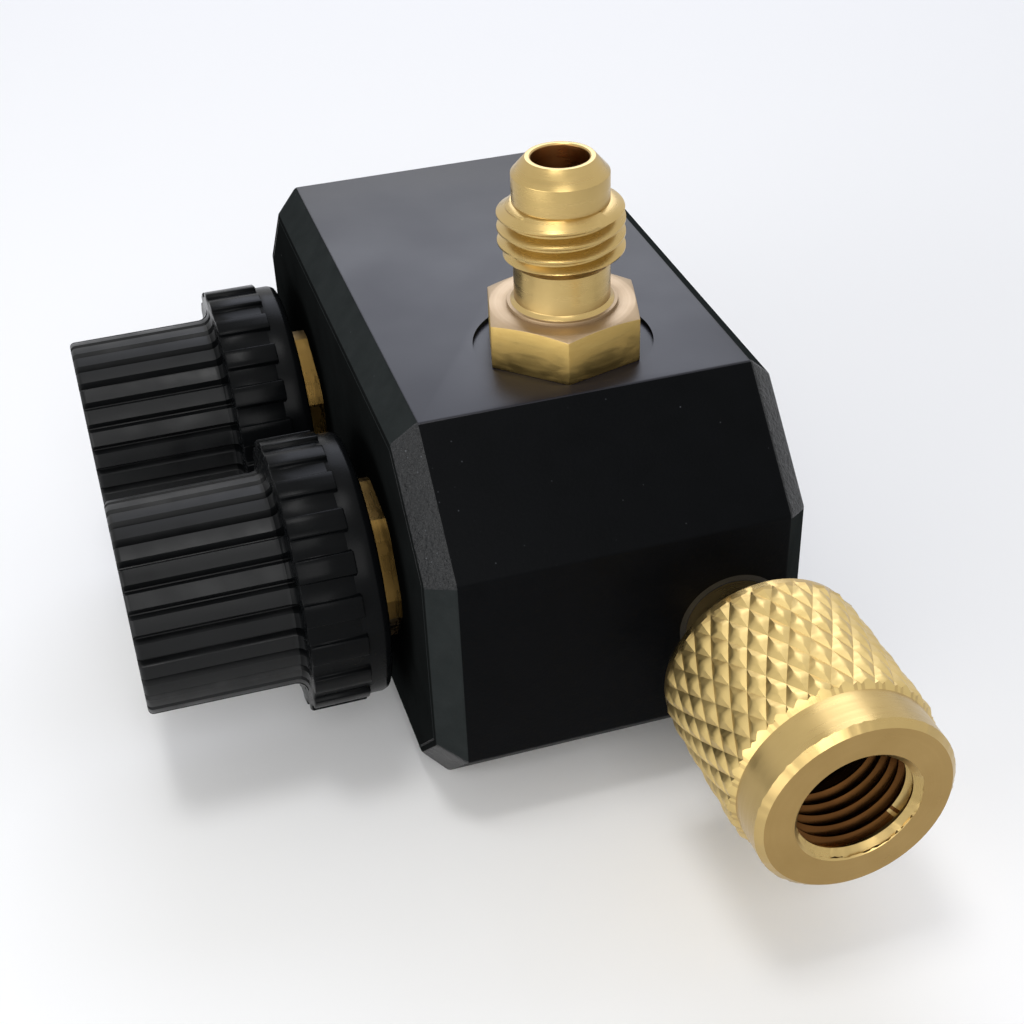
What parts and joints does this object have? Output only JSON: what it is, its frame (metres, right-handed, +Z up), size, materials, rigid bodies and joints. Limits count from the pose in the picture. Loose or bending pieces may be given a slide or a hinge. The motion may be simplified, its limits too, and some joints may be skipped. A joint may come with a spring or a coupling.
{
  "type": "vacuum isolation valve",
  "caption": "Bevelled black metal valve block with ribbed screw-down knobs, a knurled brass swivel coupling and brass male flare ports.",
  "frame": {"origin": "centre of the block's flat underside", "axes": "+Z up along the top flare port, -Y out of the swivel coupling, -X out of the knobs"},
  "size_m": [0.0605, 0.113, 0.055],
  "materials": {
    "black_anodised_aluminium": "black anodised, blasted bevels",
    "brass": "bright turned brass",
    "stainless_steel": "turned",
    "black_moulded_plastic": "glossy moulded",
    "white_fluoropolymer": "matt",
    "black_rubber": "matt"
  },
  "bodies": {
    "block": {"valve_block": "black_anodised_aluminium", "front_bonnet": "brass", "rear_bonnet": "brass", "front_bonnet_seal": "black_rubber", "rear_bonnet_seal": "black_rubber", "top_flare_fitting": "brass", "rear_flare_fitting": "brass", "top_flare_seal": "black_rubber", "rear_flare_seal": "black_rubber", "coupling_tail": "brass", "coupling_tail_seal": "black_rubber", "coupling_gasket": "black_rubber", "core_depressor": "brass", "coupling_clip": "stainless_steel"},
    "swivel_nut": {"coupling_nut": "brass"},
    "front_disc": {"front_seat_holder": "brass", "front_seat_disc": "white_fluoropolymer"},
    "front_knob": {"front_stem": "stainless_steel", "front_stem_inner_seal": "black_rubber", "front_stem_outer_seal": "black_rubber", "front_knob": "black_moulded_plastic", "front_knob_bush": "brass", "front_knob_washer": "stainless_steel", "front_knob_screw": "stainless_steel", "front_knob_cap": "black_moulded_plastic"},
    "rear_disc": {"rear_seat_holder": "brass", "rear_seat_disc": "white_fluoropolymer"},
    "rear_knob": {"rear_stem": "stainless_steel", "rear_stem_inner_seal": "black_rubber", "rear_stem_outer_seal": "black_rubber", "rear_knob": "black_moulded_plastic", "rear_knob_bush": "brass", "rear_knob_washer": "stainless_steel", "rear_knob_screw": "stainless_steel", "rear_knob_cap": "black_moulded_plastic"}
  },
  "joints": [
    {"name": "coupling_swivel", "type": "hinge", "parent": "block", "child": "swivel_nut", "pos_m": [0.0099, -0.0503, 0.0176], "axis": [0, -1, 0], "continuous": true},
    {"name": "front_disc_lift", "type": "slide", "parent": "block", "child": "front_disc", "axis": [-1, 0, 0], "range_m": [0, 0.0033]},
    {"name": "front_knob_turn", "type": "hinge", "parent": "front_disc", "child": "front_knob", "pos_m": [-0.0394, -0.0159, 0.0182], "axis": [-1, 0, 0], "range_deg": [0, 1080]},
    {"name": "rear_disc_lift", "type": "slide", "parent": "block", "child": "rear_disc", "axis": [-1, 0, 0], "range_m": [0, 0.0033]},
    {"name": "rear_knob_turn", "type": "hinge", "parent": "rear_disc", "child": "rear_knob", "pos_m": [-0.0394, 0.0151, 0.0182], "axis": [-1, 0, 0], "range_deg": [0, 1080]}
  ],
  "couplings": [
    {"joint": "front_disc_lift", "follows": "front_knob_turn", "m_per_rad": 0.00015915},
    {"joint": "rear_disc_lift", "follows": "rear_knob_turn", "m_per_rad": 0.00015915}
  ]
}
